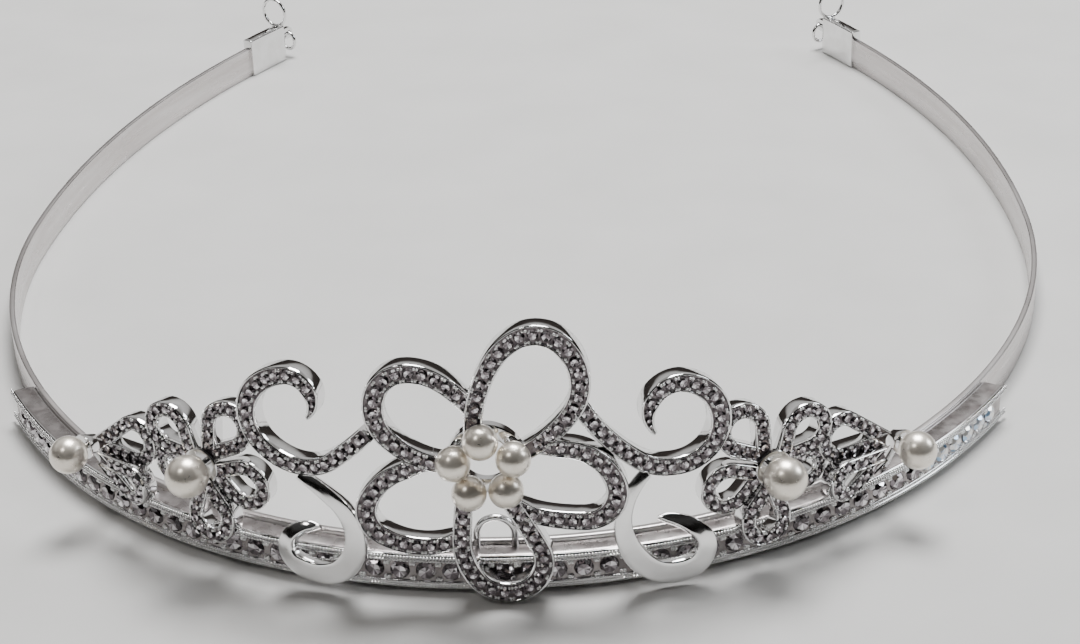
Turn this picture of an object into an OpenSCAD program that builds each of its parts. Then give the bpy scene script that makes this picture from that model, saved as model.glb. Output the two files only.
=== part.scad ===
/* [Band] */
// Radius of the front arc, on the front face of the stone rail
front_r = 68.5; // [64:0.5:74]
// Radius of the side arcs that follow it
side_r = 97.5; // [90:0.5:110]
// Radius of the back arcs that close in behind the ears
back_r = 168; // [150:1:190]
// Direction of the band where the front arc ends, in degrees
front_turn = 51; // [48:1:54]
// Direction of the band where it is widest, in degrees
side_turn = 90; // [85:1:93]
// Direction of the band at its two ends, in degrees
end_turn = 120.5; // [114:0.5:124]
// Height of the spring strip
strip_h = 5.2; // [4.6:0.1:5.6]
// Thickness of the spring strip
strip_t = 0.8; // [0.6:0.1:1]

/* [Stone rail] */
// Direction of the rail line where the rail is cut off, in degrees
rail_turn = 59.8; // [56:0.2:64]
// Thickness of the rail from front to back
rail_t = 2.8; // [2.4:0.1:3.2]
// Height of the rail
rail_h = 4.4; // [4.2:0.1:4.8]
// Gap between the rail and the surface that the strip stands on
rail_lift = 0.5; // [0.3:0.1:0.8]
// Diameter of a rail stone
rail_stone_d = 2.3; // [2:0.1:2.4]
// Spacing of the rail stones along the rail
rail_pitch = 2.9; // [2.7:0.05:3.2]

/* [Ornament] */
// How far the ornament's front face stands before the rail's
face_out = 2.2; // [2.1:0.1:2.6]
// Thickness of the cast petals and scrolls
plate_t = 2; // [1.8:0.1:2.1]
// Diameter of a pave stone in the petals and scrolls
pave_d = 1.2; // [1:0.05:1.3]
// Spacing of the pave stones along a petal
pave_pitch = 1.38; // [1.35:0.01:1.6]
// Depth of the channel that holds the pave stones
pave_deep = 0.5; // [0.3:0.05:0.7]
// Width of the plain rim on each side of that channel
rim = 0.3; // [0.2:0.05:0.3]

/* [Pearls] */
// Diameter of the five pearls in the middle of the large flower
centre_pearl_d = 3.8; // [3.4:0.1:3.9]
// Radius of the ring that these five stand on
pearl_ring_r = 3.35; // [3.35:0.05:3.6]
// Diameter of the pearl in each small flower
flower_pearl_d = 4.8; // [4.2:0.1:5]
// Diameter of the pearl at each end of the rail
end_pearl_d = 4.4; // [4:0.1:4.6]
// Diameter of the peg that each pearl is glued on
peg_d = 0.7; // [0.6:0.05:0.8]

/* [Ends] */
// Length of the folded sleeve on each end of the strip
sleeve_l = 9.5; // [8:0.5:11]
// Height of the sleeve
sleeve_h = 6.6; // [6.2:0.1:7]
// Thickness of the sleeve
sleeve_t = 1.8; // [1.7:0.1:2.2]
// Diameter of the wire that the rings are bent from
ring_wire = 0.6; // [0.5:0.05:0.65]
// Radius of the small hair ring, to the middle of its wire
ring_r = 1.55; // [1.5:0.05:1.6]
// Radius of the standing pin loop, to the middle of its wire
loop_r = 2.4; // [2.2:0.1:2.6]

/* [Hidden] */
// Finest step along a curved outline
STEP = 0.8;
// Degrees in a turn of one radian
DEG = 180 / PI;

// Where the ornament pieces stand, as a distance along the rail from its middle
SCROLL_AT = 24;
HOOK_AT = [18.8, 18.2];
FLOWER_AT = [30.5, 32.5];
LEAF_AT = 44;

// Height of each small flower's middle and of the end pearls
FLOWER_Z = [13.6, 12.6];
END_PEARL_Z = 9.4;

// Middle of the large flower's ring of pearls and the turn of its first pearl
RING_MID = [1.65, 18];
RING_PHASE = 23;

// A leg is a stretch of even curve: its length and how far it turns.
// Each petal is a start point, a start direction and its legs.
PETAL_TOP = [[0.4, 21.2, 85], [[1.3, 0], [8, -25], [3.5, -30], [5.5, -80], [8.5, -75], [5.5, -20], [1.3, 0]]];
PETAL_UPPER_LEFT = [[-0.5, 25.4, 125], [[4.3, 30], [2.5, 25], [4, 65], [6, 65], [6, 35], [1.3, 0]]];
PETAL_LOWER_LEFT = [[-6.1, 17.27, 198], [[6.4, 47], [6, 75], [7.2, 68]]];
PETAL_RIGHT = [[8.8, 19.65, -2], [[8.2, -73], [8, -105], [3.2, -15]]];
PETAL_BOTTOM = [[-0.8, 14.3, 265], [[5.8, 0], [5.5, 40], [12, 170], [6, 5], [1.8, 0]]];
// A scroll or hook is drawn for the right-hand side and mirrored for the left.
SCROLL_LEFT = [[-7.5, 22.5, 135], [[7, -145], [5.5, -50], [7, -80], [9, -80], [4.4, -5]]];
SCROLL_RIGHT = [[-5, 20, 130], [[8.5, -145], [7.5, -80], [6.5, -80], [5.5, -45], [8.8, -20]]];
HOOK_LEFT = [[-0.5, 15.2, 211], [[4.9, 9], [7.5, 75], [8.5, 100], [4, 115], [3.5, -15]]];
HOOK_RIGHT = [[0.1, 15.3, 225], [[2.9, 15], [10.5, 80], [5.5, 50], [6, 130], [4, 5]]];
// Directions and lengths of a small flower's five petals, for the left-hand flower
FLOWER_PETALS = [[57, 8.6], [139, 8], [200, 7.6], [-78, 8.8], [-14, 8]];
FLOWER_PETAL_W = 5;
// Directions and lengths of the two petals of an end leaf, for the left-hand leaf
LEAF_PETALS = [[11, 9.9], [-13.5, 9.7]];
LEAF_PETAL_W = 3.4;
// Width of the cast band round each small petal, and its plain rim
SMALL_BAND = 1.4;
SMALL_RIM = 0.2;
SMALL_D = 0.95;
SMALL_PITCH = 1.15;

// Band widths along each outline, from its start (0) to its end (1)
PETAL_W = [[0, 1.9], [0.5, 2.4], [1, 1.9]];
SCROLL_W = [[0, 0.5], [0.1, 1.9], [0.35, 2.4], [0.7, 2.1], [1, 1.9]];
HOOK_W = [[0, 1.2], [0.3, 1.9], [0.5, 1.9], [0.62, 1.5], [0.78, 1.7], [1, 0.6]];

strip_in = rail_t;
rail_top = rail_lift + rail_h;
sleeve_turn = sleeve_l / back_r * DEG;
ring_hole_r = ring_wire / 2 + 0.1;
lug_t = 0.8;
lug_z = 4.6;
hole_out = 1.8;

// Centres of the three arcs on the right-hand side, from the front
FRONT_C = [0, front_r];
SIDE_C = FRONT_C + (front_r - side_r) * [sin(front_turn), -cos(front_turn)];
BACK_C = SIDE_C + (side_r - back_r) * [sin(side_turn), -cos(side_turn)];

function rail_c(a) = a <= front_turn ? FRONT_C : a <= side_turn ? SIDE_C : BACK_C;
function rail_r(a) = a <= front_turn ? front_r : a <= side_turn ? side_r : back_r;
// Point of the rail line where it heads in direction a, positive on the right
function right_pt(a) = rail_c(a) + rail_r(a) * [sin(a), -cos(a)];
function rail_pt(a) = a < 0 ? [-right_pt(-a)[0], right_pt(-a)[1]] : right_pt(a);
// Direction of the rail line at a distance s along it from the middle
FRONT_L = front_r * front_turn / DEG;
function right_dir(s) = s <= FRONT_L ? s / front_r * DEG : front_turn + (s - FRONT_L) / side_r * DEG;
function rail_dir(s) = sign(s) * right_dir(abs(s));
RAIL_L = FRONT_L + side_r * (rail_turn - front_turn) / DEG;

// The whole part is centred on its own bounding box in plan
FRONT_Y = -(face_out + 1.4 + centre_pearl_d / 2);
BACK_Y = right_pt(end_turn)[1] + hole_out * sin(end_turn)
    + (strip_in + strip_t / 2 - ring_r) * cos(end_turn) + ring_wire / 2;
MID_Y = (FRONT_Y + BACK_Y) / 2;

// ---- curves -----------------------------------------------------------

// State [x, y, direction] at the end of a leg that starts in state s
function leg_end(s, leg) = abs(leg[1]) < 0.1
    ? [s[0] + leg[0] * cos(s[2]), s[1] + leg[0] * sin(s[2]), s[2]]
    : let (r = leg[0] / leg[1] * DEG)
        [s[0] + r * (sin(s[2] + leg[1]) - sin(s[2])), s[1] + r * (cos(s[2]) - cos(s[2] + leg[1])), s[2] + leg[1]];
function leg_part(s, leg, f) = leg_end(s, [leg[0] * f, leg[1] * f]);
function states(start, legs) = [for (i = 0, s = start; i < len(legs); s = leg_end(s, legs[i]), i = i + 1) s];
function all_length(legs) = [for (l = legs) l[0]] * [for (l = legs) 1];
// The states along a curve, a STEP or less apart
function line_of(curve) =
    let (st = states(curve[0], curve[1]), legs = curve[1], last = len(legs) - 1)
    [for (i = [0:last])
        let (n = max(2, ceil(legs[i][0] / STEP)))
        for (k = [0:(i == last ? n : n - 1)]) leg_part(st[i], legs[i], k / n)];
// The state at a distance d along a curve
function state_at(s, legs, d, i = 0) = d <= legs[i][0] || i == len(legs) - 1
    ? leg_part(s, legs[i], d / legs[i][0])
    : state_at(leg_end(s, legs[i]), legs, d - legs[i][0], i + 1);
function beside(s, w) = [s[0] - w * sin(s[2]), s[1] + w * cos(s[2])];
// Outline of a band along a line: both edges, each half the local width away,
// leaving out the part of the line before the share named first
function outline(line, widths, less = 0, first = 0) =
    let (n = len(line) - 1, i0 = ceil(first * n))
    concat(
        [for (i = [i0:n]) beside(line[i], (lookup(i / n, widths) - less) / 2)],
        [for (i = [n:-1:i0]) beside(line[i], (less - lookup(i / n, widths)) / 2)]);
// A small petal is a drop: two straight sides from its root and a round end.
// drop gives its outline, moved inwards by inset; drop_line the curve along it.
function drop_half(length, r) = asin(r / (length - r));
function drop(root, dir, length, r, inset) =
    let (reach = length - r, half = drop_half(length, r), tip = inset / sin(half))
    concat(
        [root + tip * [cos(dir), sin(dir)]],
        [for (i = [0:20])
            let (t = dir - 90 - half + i * (180 + 2 * half) / 20)
            root + reach * [cos(dir), sin(dir)] + (r - inset) * [cos(t), sin(t)]]);
function drop_line(root, dir, length, r, inset, skip) =
    let (half = drop_half(length, r), tip = inset / sin(half))
    let (side = (length - r - tip) * cos(half) - skip, rr = r - inset)
    let (at = root + tip * [cos(dir), sin(dir)] + skip * [cos(dir - half), sin(dir - half)])
    [[at[0], at[1], dir - half], [[side, 0], [rr * (180 + 2 * half) / DEG, 180 + 2 * half], [side, 0]]];

// ---- placing ----------------------------------------------------------

// Stands children on the rail line where it heads in direction a: X along the
// rail, Y inwards, Z up, and out is how far they stand before its front face
module on_rail(a, out) {
    translate([rail_pt(a)[0], rail_pt(a)[1] - MID_Y, 0])
        rotate([0, 0, a])
            translate([0, -out, 0]) children();
}

module on_side(side) {
    if (side < 0) mirror([1, 0, 0]) children();
    else children();
}

// An upright plate with the outline pts, from its face at y = from, t deep
module upright(pts, from, t) {
    translate([0, from + t, 0]) rotate([90, 0, 0]) linear_extrude(t) polygon(pts);
}

// A round bar along Y
module bar_y(x, z, from, to, d) {
    translate([x, to, z]) rotate([90, 0, 0]) cylinder(d = d, h = to - from, $fn = 32);
}

// ---- band -------------------------------------------------------------

// A band with the section [depth, height], set in from the rail line, between
// two directions on one arc of the right-hand side
module arc_piece(c, r, from, to, in, depth, z, height) {
    translate([c[0], c[1] - MID_Y, z])
        rotate([0, 0, from - 90])
            rotate_extrude(angle = to - from, $fn = 240)
                translate([r - in - depth, 0]) square([depth, height]);
}

// Each arc starts a little inside the one before it and is a hair smaller all
// round, so the arcs join into one bar
LAP = 0.3;
HAIR = 0.02;

module band_to(turn, in, depth, z, height) {
    arc_piece(FRONT_C, front_r, -front_turn, front_turn, in, depth, z, height);
    for (side = [-1, 1]) on_side(side) {
        arc_piece(SIDE_C, side_r, front_turn - LAP, min(turn, side_turn), in + HAIR, depth - 2 * HAIR,
            z + HAIR, height - 2 * HAIR);
        if (turn > side_turn) arc_piece(BACK_C, back_r, side_turn - LAP, turn, in + 2 * HAIR, depth - 4 * HAIR,
            z + 2 * HAIR, height - 4 * HAIR);
    }
}

module headband_strip() {
    color([0.72, 0.70, 0.69]) band_to(end_turn, strip_in, strip_t, 0, strip_h);
}

// A sheet folded over the strip's top edge, with an eye for the hair ring
module end_sleeve(side) {
    cheek = (sleeve_t - strip_t) / 2;
    on_side(side) color([0.70, 0.70, 0.70]) {
        difference() {
            arc_piece(BACK_C, back_r, end_turn - sleeve_turn, end_turn, strip_in - cheek, sleeve_t, 0, sleeve_h);
            arc_piece(BACK_C, back_r, end_turn - sleeve_turn - 1, end_turn + 1, strip_in, strip_t, -1, strip_h + 1);
        }
        on_rail(end_turn, -(strip_in + (strip_t - lug_t) / 2)) difference() {
            union() {
                translate([-0.01, 0, lug_z - 1]) cube([hole_out + 0.01, lug_t, 2]);
                bar_y(hole_out, lug_z, 0, lug_t, 2);
            }
            bar_y(hole_out, lug_z, -1, lug_t + 1, 2 * ring_hole_r);
        }
    }
}

// A wire loop soldered upright on the end of the sleeve, for a hair pin
module pin_loop(side) {
    on_side(side) color([0.74, 0.74, 0.75])
        on_rail(end_turn, -(strip_in + strip_t / 2))
            translate([-1.2, 0, sleeve_h + loop_r + ring_wire / 2 - 0.1])
                rotate([90, 0, 90]) rotate_extrude($fn = 48) translate([loop_r, 0]) circle(d = ring_wire, $fn = 24);
}

// A free ring of wire through the eye of the sleeve
module hair_ring(side) {
    on_side(side) color([0.78, 0.78, 0.79])
        on_rail(end_turn, -(strip_in + strip_t / 2))
            translate([hole_out, 0, lug_z - ring_r])
                rotate([90, 0, 90]) rotate_extrude($fn = 48) translate([ring_r, 0]) circle(d = ring_wire, $fn = 24);
}

// ---- stone rail -------------------------------------------------------

groove_h = rail_stone_d + 0.3;
groove_deep = 0.7;
groove_z = rail_lift + (rail_h - groove_h) / 2;

module stone_rail() {
    color([0.76, 0.76, 0.77]) difference() {
        band_to(rail_turn, 0, rail_t, rail_lift, rail_h);
        difference() {
            band_to(rail_turn + 1, -1, 1 + groove_deep, groove_z, groove_h);
            for (side = [-1, 1]) on_side(side)
                arc_piece(SIDE_C, side_r, rail_turn - 0.4, rail_turn + 2, -2, 4, 0, rail_h + 1);
        }
    }
}

RAIL_STONES = floor((RAIL_L - rail_stone_d) / rail_pitch);

module rail_stones() {
    color([0.62, 0.58, 0.60])
        for (i = [-RAIL_STONES:RAIL_STONES])
            on_rail(rail_dir(i * rail_pitch), 0.05 - groove_deep)
                translate([0, 0, rail_lift + rail_h / 2]) rotate([90, 0, 0]) {
                    cylinder(d = rail_stone_d, h = 0.5, $fn = 24);
                    translate([0, 0, 0.5]) cylinder(d1 = rail_stone_d, d2 = rail_stone_d * 0.6, h = 0.3, $fn = 24);
                }
}

// A wire arch on top of the rail's back, just behind the lowest petal
module rear_wire_loop() {
    wire = 0.8;
    arch_r = 2.1;
    leg = 1.4;
    color([0.74, 0.74, 0.75])
        on_rail(rail_dir(2), -(rail_t - wire / 2)) translate([0, 0, rail_top + leg]) {
            rotate([90, 0, 0]) rotate_extrude(angle = 180, $fn = 48) translate([arch_r, 0]) circle(d = wire, $fn = 24);
            for (x = [-arch_r, arch_r]) translate([x, 0, -leg]) cylinder(d = wire, h = leg, $fn = 24);
        }
}

// ---- cast, stone-set pieces -------------------------------------------

// A casting along a curve with a channel in its face for a row of stones
module set_band(curve, widths, first = 0) {
    line = line_of(curve);
    difference() {
        upright(outline(line, widths), 0, plate_t);
        upright(outline(line, widths, 2 * rim, first), -1, 1 + pave_deep);
    }
}

// The stones in that channel, between two distances from its ends
module set_stones(curve, d, pitch, from, to) {
    free = all_length(curve[1]) - from - to;
    n = floor(free / pitch);
    for (i = [0:n]) {
        s = state_at(curve[0], curve[1], from + i * free / n);
        bar_y(s[0], s[1], 0, pave_deep, d);
    }
}

// The roots that reach under the pearls are hollowed where the pearls rest
module petal(curve) {
    color([0.75, 0.75, 0.76]) on_rail(0, face_out) difference() {
        set_band(curve, PETAL_W);
        bar_y(RING_MID[0], RING_MID[1], SEAT_Y, plate_t + 1, 2 * (pearl_ring_r + seat_w));
        for (i = [0:4]) {
            bar_y(ring_x(i), ring_z(i), -1, 0.6, 2.7);
            bar_y(ring_x(i), ring_z(i), -1, SEAT_Y + 0.5, peg_d + 0.2);
        }
    }
}

module petal_stones(curve, from, to) {
    color([0.58, 0.54, 0.56]) on_rail(0, face_out) set_stones(curve, pave_d, pave_pitch, from, to);
}

module petal_top() { petal(PETAL_TOP); }
module petal_upper_left() { petal(PETAL_UPPER_LEFT); }
module petal_lower_left() { petal(PETAL_LOWER_LEFT); }
module petal_right() { petal(PETAL_RIGHT); }

// The lowest petal also carries the two studs that are soldered to the rail
module petal_bottom() {
    petal(PETAL_BOTTOM);
    color([0.75, 0.75, 0.76]) on_rail(0, face_out)
        for (x = [-1.1, 7.9]) bar_y(x, rail_top - 0.5, plate_t - 0.2, face_out + x * x / (2 * front_r) + 0.05, 0.8);
}

// Cups and pegs for the five middle pearls, joined by a ring behind the petals
module pearl_seat() {
    color([0.73, 0.72, 0.70]) on_rail(0, face_out) {
        difference() {
            bar_y(RING_MID[0], RING_MID[1], SEAT_Y, plate_t, 2 * (pearl_ring_r + seat_w));
            bar_y(RING_MID[0], RING_MID[1], 0, plate_t + 1, 2 * (pearl_ring_r - seat_w));
        }
        for (i = [0:4]) pearl_peg(i);
    }
}

PEARL_OUT = 1.4;
SEAT_Y = 0.9;
seat_w = 1;
function ring_x(i) = RING_MID[0] + pearl_ring_r * cos(RING_PHASE + 72 * i);
function ring_z(i) = RING_MID[1] + pearl_ring_r * sin(RING_PHASE + 72 * i);

module pearl_peg(i) {
    bar_y(ring_x(i), ring_z(i), -PEARL_OUT, SEAT_Y + 0.3, peg_d);
}

// A drilled pearl at x, z with its middle a distance out before the plate's face
module pearl(x, z, out, d) {
    color([0.86, 0.83, 0.76]) difference() {
        translate([x, -out, z]) sphere(d = d, $fn = 64);
        bar_y(x, z, -out - 0.2, d, peg_d + 0.1);
    }
}

module centre_pearl(i) {
    on_rail(0, face_out) pearl(ring_x(i), ring_z(i), PEARL_OUT, centre_pearl_d);
}

module scroll(side, curve) {
    on_side(side) color([0.75, 0.75, 0.76]) on_rail(rail_dir(SCROLL_AT), face_out) set_band(curve, SCROLL_W, 0.08);
}

module scroll_stones(side, curve) {
    on_side(side) color([0.58, 0.54, 0.56]) on_rail(rail_dir(SCROLL_AT), face_out)
        set_stones(curve, pave_d, pave_pitch, 4, 1);
}

hook_out = 2.6;
hook_t = 1.3;

// A round rod between two points
module rod(from, to, d) {
    v = to - from;
    translate(from) rotate([0, acos(v[2] / norm(v)), atan2(v[1], v[0])]) cylinder(d = d, h = norm(v), $fn = 24);
}

// Distance along a hook at which its broad bend passes the rail's upper rim
function hook_foot(curve) =
    let (n = all_length(curve[1]) / 2)
    [for (d = [0:0.1:n]) if (state_at(curve[0], curve[1], d)[1] < rail_top - 0.4) d][0];

// A plain polished hook, held by a stud behind its bend and by its own tip,
// which is bent back and down to the rail's top edge
module hook(side, curve) {
    tip = state_at(curve[0], curve[1], all_length(curve[1]));
    foot = state_at(curve[0], curve[1], hook_foot(curve));
    on_side(side) color([0.82, 0.82, 0.81]) on_rail(rail_dir(HOOK_AT[side < 0 ? 0 : 1]), hook_out) {
        upright(outline(line_of(curve), HOOK_W), 0, hook_t);
        bar_y(foot[0], foot[1], hook_t - 0.2, hook_out + foot[0] * foot[0] / (2 * front_r) + 0.05, 0.8);
        rod([tip[0], hook_t / 2, tip[1]], [tip[0], hook_out + 1.2, rail_top - 0.1], 0.9);
    }
}

// ---- small flowers and end leaves --------------------------------------

// Cast drop-shaped petal, open in the middle, with a channel round its face
module small_petal(root, p, r) {
    dir = 180 - p[0];
    difference() {
        upright(drop(root, dir, p[1], r, 0), 0, plate_t);
        upright(drop(root, dir, p[1], r, SMALL_BAND), -1, plate_t + 2);
        difference() {
            upright(drop(root, dir, p[1], r, SMALL_RIM), -1, 1 + pave_deep);
            upright(drop(root, dir, p[1], r, SMALL_BAND - SMALL_RIM), -2, plate_t + 4);
        }
    }
}

// Five small petals round a cup with the pearl's peg, on two struts from the
// rail: one meets the lowest petal and one the cup
module flower(side) {
    z = FLOWER_Z[side < 0 ? 0 : 1];
    on_side(side) color([0.75, 0.75, 0.76])
        on_rail(rail_dir(FLOWER_AT[side < 0 ? 0 : 1]), face_out) {
            for (p = FLOWER_PETALS) small_petal([0, z], p, FLOWER_PETAL_W / 2);
            bar_y(0, z, 0.3, plate_t, 3.7);
            bar_y(0, z, -2, 0.4, peg_d);
            rod([-1.7, 1.5, z - 7.6], [-1.7, 3.6, rail_top - 0.1], 0.9);
            rod([0, 1.6, z - 1.2], [0, 3.8, rail_top - 0.1], 0.8);
        }
}

// Two rows of stones meet in the round end; on a slender petal single stones
// carry on towards the root where the rows would run together
module small_stones(root, p, r, single = []) {
    dir = 180 - p[0];
    skip = (SMALL_D / 2 + 0.06) / sin(drop_half(p[1], r));
    set_stones(drop_line(root, dir, p[1], r, SMALL_BAND / 2, skip), SMALL_D, SMALL_PITCH, 0, 0);
    for (d = single) bar_y(root[0] + d * cos(dir), root[1] + d * sin(dir), 0, pave_deep, SMALL_D);
}

module flower_stones(side) {
    z = FLOWER_Z[side < 0 ? 0 : 1];
    on_side(side) color([0.58, 0.54, 0.56])
        on_rail(rail_dir(FLOWER_AT[side < 0 ? 0 : 1]), face_out)
            for (p = FLOWER_PETALS) small_stones([0, z], p, FLOWER_PETAL_W / 2);
}

module flower_pearl(side) {
    z = FLOWER_Z[side < 0 ? 0 : 1];
    on_side(side) on_rail(rail_dir(FLOWER_AT[side < 0 ? 0 : 1]), face_out) pearl(0, z, flower_pearl_d / 2 + 0.03, flower_pearl_d);
}

LEAF_ROOT = 5.2;
LEAF_OUT = 2;

// Two small petals that leave a turned cup with the end pearl's peg; struts
// behind the cup and the petals stand on the rail's top
module leaf(side) {
    on_side(side) color([0.75, 0.75, 0.76]) on_rail(rail_dir(LEAF_AT), LEAF_OUT) {
        for (p = LEAF_PETALS) small_petal([LEAF_ROOT, END_PEARL_Z], p, LEAF_PETAL_W / 2);
        bar_y(LEAF_ROOT, END_PEARL_Z, 0.1, plate_t, 3);
        bar_y(LEAF_ROOT, END_PEARL_Z, -2, 0.3, peg_d);
        rod([LEAF_ROOT, 1, END_PEARL_Z], [LEAF_ROOT, 3.4, rail_top - 0.1], 0.9);
        rod([-2.4, 1.4, 7.4], [-2.4, 3.4, rail_top - 0.1], 0.9);
    }
}

module leaf_stones(side) {
    on_side(side) color([0.58, 0.54, 0.56]) on_rail(rail_dir(LEAF_AT), LEAF_OUT)
        for (p = LEAF_PETALS) small_stones([LEAF_ROOT, END_PEARL_Z], p, LEAF_PETAL_W / 2, [3.7, 4.95]);
}

module end_pearl(side) {
    on_side(side) on_rail(rail_dir(LEAF_AT), LEAF_OUT) pearl(LEAF_ROOT, END_PEARL_Z, end_pearl_d / 2 + 0.03, end_pearl_d);
}

headband_strip();
end_sleeve(-1);  // left_end_sleeve
end_sleeve(1);  // right_end_sleeve
pin_loop(-1);  // left_pin_loop
pin_loop(1);  // right_pin_loop
hair_ring(-1);  // left_hair_ring
hair_ring(1);  // right_hair_ring
stone_rail();
rail_stones();
rear_wire_loop();
petal_top();
petal_upper_left();
petal_lower_left();
petal_right();
petal_bottom();
petal_stones(PETAL_TOP, 2.1, 2.3);  // petal_top_stones
petal_stones(PETAL_UPPER_LEFT, 1.1, 2.3);  // petal_upper_left_stones
petal_stones(PETAL_LOWER_LEFT, 1.1, 1.1);  // petal_lower_left_stones
petal_stones(PETAL_RIGHT, 1.1, 1.1);  // petal_right_stones
petal_stones(PETAL_BOTTOM, 2.3, 2.3);  // petal_bottom_stones
pearl_seat();
centre_pearl(0);  // centre_pearl_1
centre_pearl(1);  // centre_pearl_2
centre_pearl(2);  // centre_pearl_3
centre_pearl(3);  // centre_pearl_4
centre_pearl(4);  // centre_pearl_5
scroll(-1, SCROLL_LEFT);  // left_scroll
scroll(1, SCROLL_RIGHT);  // right_scroll
scroll_stones(-1, SCROLL_LEFT);  // left_scroll_stones
scroll_stones(1, SCROLL_RIGHT);  // right_scroll_stones
hook(-1, HOOK_LEFT);  // left_hook
hook(1, HOOK_RIGHT);  // right_hook
flower(-1);  // left_flower
flower(1);  // right_flower
flower_stones(-1);  // left_flower_stones
flower_stones(1);  // right_flower_stones
flower_pearl(-1);  // left_flower_pearl
flower_pearl(1);  // right_flower_pearl
leaf(-1);  // left_leaf
leaf(1);  // right_leaf
leaf_stones(-1);  // left_leaf_stones
leaf_stones(1);  // right_leaf_stones
end_pearl(-1);  // left_end_pearl
end_pearl(1);  // right_end_pearl
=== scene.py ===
import math
import random

import bpy
from mathutils import Matrix, Vector


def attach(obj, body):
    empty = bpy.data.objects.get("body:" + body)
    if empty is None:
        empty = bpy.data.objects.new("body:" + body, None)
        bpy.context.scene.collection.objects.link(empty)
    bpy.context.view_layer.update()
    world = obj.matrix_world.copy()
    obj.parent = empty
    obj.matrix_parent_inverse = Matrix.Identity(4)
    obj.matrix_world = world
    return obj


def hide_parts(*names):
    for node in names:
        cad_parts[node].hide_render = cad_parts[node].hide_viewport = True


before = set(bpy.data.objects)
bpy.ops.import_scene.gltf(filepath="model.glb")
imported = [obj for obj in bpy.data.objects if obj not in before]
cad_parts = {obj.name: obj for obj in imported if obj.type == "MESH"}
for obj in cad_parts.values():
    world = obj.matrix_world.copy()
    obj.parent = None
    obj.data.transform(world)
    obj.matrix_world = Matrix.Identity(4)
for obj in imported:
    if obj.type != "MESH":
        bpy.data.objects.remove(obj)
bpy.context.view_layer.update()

# ---------------------------------------------------------------------------
# Spring strip. A flat strip of plated spring steel, bent into an open band and
# tumbled to a soft satin. Drawn in millimetres from the middle of its front,
# where the rail's face line starts, and swept round three arcs on each side.
# ---------------------------------------------------------------------------
MM = 0.001
FRONT_R, SIDE_R, BACK_R = 68.5, 97.5, 168.0
FRONT_TURN, SIDE_TURN, END_TURN = 51.0, 90.0, 120.5
MID_Y = 83.765
STRIP_IN, STRIP_T, STRIP_H = 2.8, 0.8, 5.2


def band_arcs():
    """Stop direction, centre and radius of the three arcs of the right-hand side."""
    arcs = []
    x, y, radius = 0.0, FRONT_R, FRONT_R
    for stop, next_r in ((FRONT_TURN, SIDE_R), (SIDE_TURN, BACK_R), (END_TURN, BACK_R)):
        arcs.append((stop, x, y, radius))
        x += (radius - next_r) * math.sin(math.radians(stop))
        y -= (radius - next_r) * math.cos(math.radians(stop))
        radius = next_r
    return arcs


def rail_place(turn, out=0.0):
    """Matrix that stands a piece on the rail line where it heads in direction turn."""
    for stop, x, y, radius in band_arcs():
        if turn <= stop:
            break
    angle = math.radians(turn)
    spot = Vector((x + radius * math.sin(angle), y - radius * math.cos(angle) - MID_Y, 0))
    return (Matrix.Scale(MM, 4) @ Matrix.Translation(spot) @ Matrix.Rotation(angle, 4, "Z")
            @ Matrix.Translation((0, -out, 0)))


def rail_turn(along):
    """Direction of the rail line at a distance along it from its middle."""
    front = FRONT_R * math.radians(FRONT_TURN)
    if along <= front:
        return math.degrees(along / FRONT_R)
    return FRONT_TURN + math.degrees((along - front) / SIDE_R)


def start_section(points):
    """Lays out a closed section as a ring of edges, selected and ready to sweep."""
    bpy.ops.object.select_all(action="DESELECT")
    bpy.ops.mesh.primitive_circle_add(vertices=len(points), radius=1)
    piece = bpy.context.object
    for corner, point in zip(piece.data.vertices, points):
        corner.co = point
    bpy.ops.object.mode_set(mode="EDIT")
    bpy.ops.mesh.select_all(action="SELECT")
    return piece


def sweep_round_band(last_turn, step=1.5):
    """Spins the selected section round the right-hand side of the band."""
    done = 0.0
    for stop, x, y, radius in band_arcs():
        stop = min(stop, last_turn)
        if stop > done:
            bpy.ops.mesh.spin(steps=max(1, round((stop - done) / step)), angle=-math.radians(stop - done),
                              center=(x, y, 0), axis=(0, 0, 1), dupli=False)
        done = max(done, stop)


def close_ends(piece, count):
    """Fills the first and the last ring of count corners of a swept piece."""
    bpy.ops.mesh.select_mode(type="VERT")
    for first in (0, -count):
        bpy.ops.mesh.select_all(action="DESELECT")
        bpy.ops.object.mode_set(mode="OBJECT")
        first %= len(piece.data.vertices)
        for corner in piece.data.vertices[first:first + count]:
            corner.select = True
        bpy.ops.object.mode_set(mode="EDIT")
        bpy.ops.mesh.edge_face_add()


def only(piece):
    """Makes piece the one selected and active object, in object mode."""
    if bpy.context.object and bpy.context.object.mode != "OBJECT":
        bpy.ops.object.mode_set(mode="OBJECT")
    bpy.ops.object.select_all(action="DESELECT")
    piece.select_set(True)
    bpy.context.view_layer.objects.active = piece


def mirror_band(piece):
    """Adds the left-hand side of a band piece whose section starts in the middle."""
    only(piece)
    bpy.ops.object.modifier_add(type="MIRROR")
    piece.modifiers[-1].merge_threshold = 0.001
    bpy.ops.object.modifier_apply(modifier=piece.modifiers[-1].name)


def seal(piece, smooth=40):
    """Turns every face outwards and smooths all but sharp edges."""
    only(piece)
    bpy.ops.object.mode_set(mode="EDIT")
    bpy.ops.mesh.select_all(action="SELECT")
    bpy.ops.mesh.normals_make_consistent(inside=False)
    bpy.ops.object.mode_set(mode="OBJECT")
    bpy.ops.object.shade_smooth_by_angle(angle=math.radians(smooth))


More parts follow.
